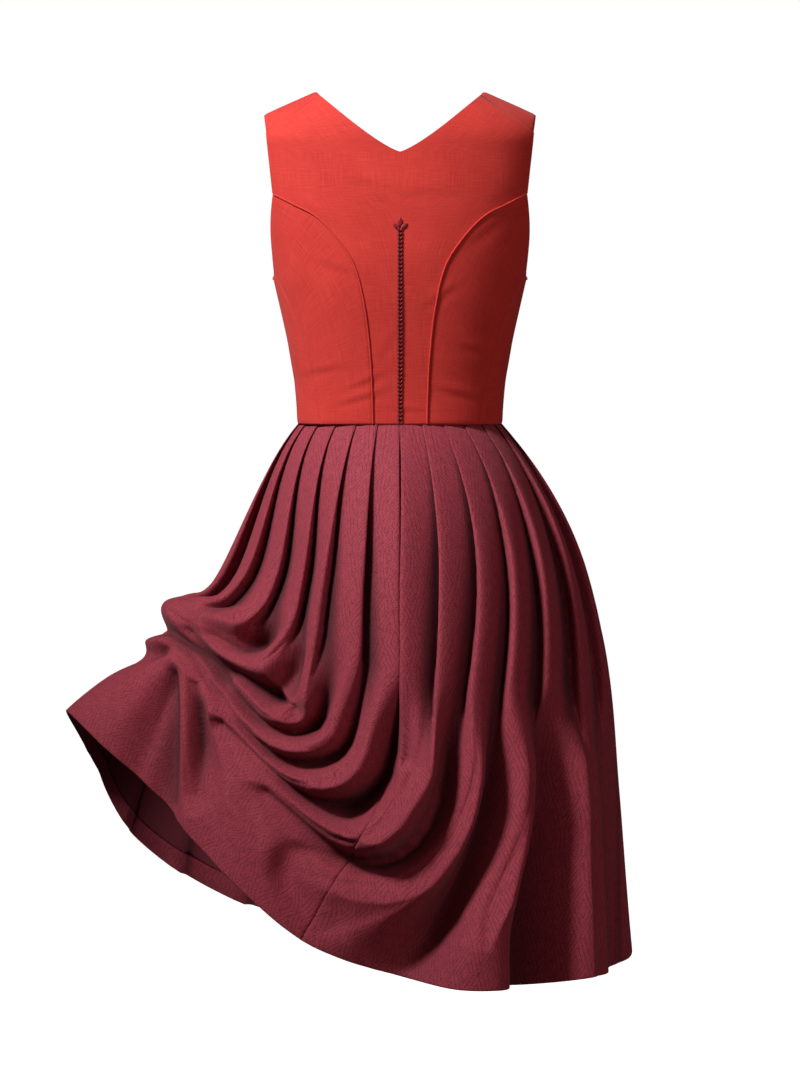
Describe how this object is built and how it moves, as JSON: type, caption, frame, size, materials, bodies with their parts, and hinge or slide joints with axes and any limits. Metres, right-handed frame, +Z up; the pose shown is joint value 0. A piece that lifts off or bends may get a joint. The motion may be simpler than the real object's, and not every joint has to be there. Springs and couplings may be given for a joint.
{
  "type": "dirndl",
  "caption": "Sleeveless dirndl in its worn form: a fitted linen bodice with a V back and a pleated jacquard skirt, hitched up at the left hip.",
  "frame": {"origin": "between the shoulders, level with the straps, where the wearer's shoulders carry the dress", "axes": "+Z up, +Y towards the wearer's front, +X towards the wearer's right"},
  "size_m": [0.7026, 0.5219, 1.085],
  "materials": {
    "bodice_linen": "matt slub linen, orange-red",
    "skirt_jacquard": "matt jacquard twill with woven diamonds, burgundy",
    "silk_thread": "lustrous embroidery thread, burgundy"
  },
  "bodies": {
    "root": {"bodice_back_centre": "bodice_linen", "bodice_back_side_left": "bodice_linen", "bodice_back_side_right": "bodice_linen", "bodice_front_side_left": "bodice_linen", "bodice_front_side_right": "bodice_linen", "bodice_front_left": "bodice_linen", "bodice_front_right": "bodice_linen", "piping_back_left": "bodice_linen", "piping_back_right": "bodice_linen", "back_braid": "silk_thread", "back_sprig": "silk_thread", "skirt_back_left": "skirt_jacquard", "skirt_back_right": "skirt_jacquard", "skirt_front": "skirt_jacquard"}
  },
  "joints": []
}
